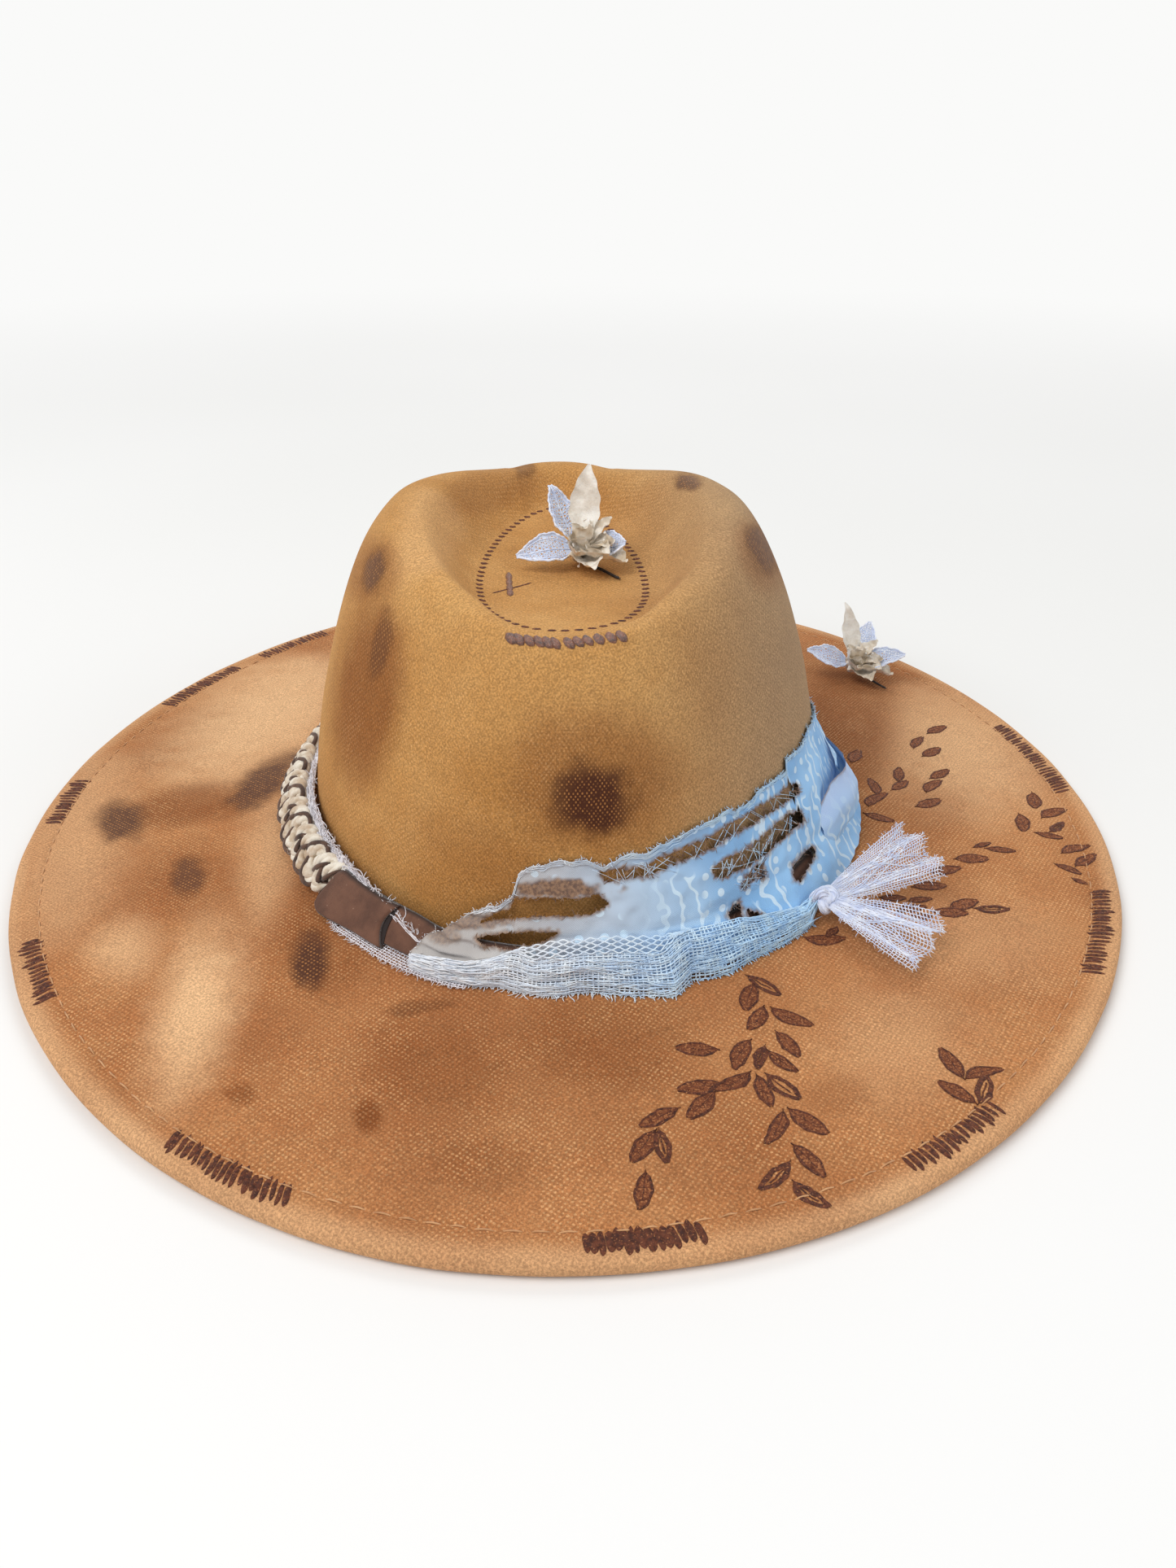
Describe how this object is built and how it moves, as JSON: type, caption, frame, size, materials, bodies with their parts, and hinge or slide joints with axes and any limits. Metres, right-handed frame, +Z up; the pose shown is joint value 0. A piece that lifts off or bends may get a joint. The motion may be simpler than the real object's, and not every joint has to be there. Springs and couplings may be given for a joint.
{
  "type": "wide-brim felt hat",
  "caption": "Wide-brim felt hat with a teardrop crown, wired hem, braided band with suede ends, torn cloth and lace tied round it, and small cloth flowers.",
  "frame": {"origin": "middle of the head oval, on the plane that the hem rests on", "axes": "+X to the wearer's right, +Y to the front of the hat, +Z up through the crown"},
  "size_m": [0.368, 0.402, 0.1261],
  "materials": {
    "crown_felt": "golden tan brushed felt with scorched marks",
    "brim_felt": "orange tan brushed felt with scorched leaf sprigs and spots",
    "wire": "drawn steel wire and its rolled sleeve",
    "sweatband": "smooth brown sweatband with a piped lower edge",
    "gauze": "open white cheesecloth with frayed edges",
    "braid": "lumpy braid of cream and dark brown yarn",
    "suede": "matt brown suede",
    "bandana": "thin torn grey cotton with white dots, burnt along its edge",
    "lace": "white net and gauze",
    "petal_lace": "stiffened white lace",
    "petal_cream": "smooth cream cloth, slightly waxy",
    "flower_centre": "crumpled beige cloth",
    "stem_wire": "black paper-wrapped wire"
  },
  "bodies": {
    "hat": {"crown": "crown_felt", "brim": "brim_felt", "brim_wire": "wire", "wire_joiner": "wire", "sweatband": "sweatband", "crown_flower_petals": "petal_lace", "crown_flower_cream_petal": "petal_cream", "crown_flower_centre": "flower_centre", "crown_flower_stem": "stem_wire", "brim_flower_petals": "petal_lace", "brim_flower_cream_petal": "petal_cream", "brim_flower_centre": "flower_centre", "brim_flower_stem": "stem_wire"},
    "band": {"gauze_band": "gauze", "braid_band": "braid", "suede_keeper": "suede", "suede_strap": "suede", "bandana_wrap": "bandana", "bandana_loop": "bandana", "lace_wrap": "lace", "lace_knot": "lace"},
    "upper_tail": {"lace_tail_upper": "lace"},
    "lower_tail": {"lace_tail_lower": "lace"}
  },
  "joints": [
    {"name": "band_lift", "type": "slide", "parent": "hat", "child": "band", "axis": [0, 0, 1], "range_m": [0, 0.12]},
    {"name": "upper_tail_swing", "type": "hinge", "parent": "band", "child": "upper_tail", "pos_m": [0.07404, -0.08397, 0.015], "axis": [0.454, -0.891, 0], "range_deg": [-10, 40]},
    {"name": "lower_tail_swing", "type": "hinge", "parent": "band", "child": "lower_tail", "pos_m": [0.07404, -0.08397, 0.015], "axis": [-0.6018, -0.7986, 0], "range_deg": [0, 45]}
  ]
}
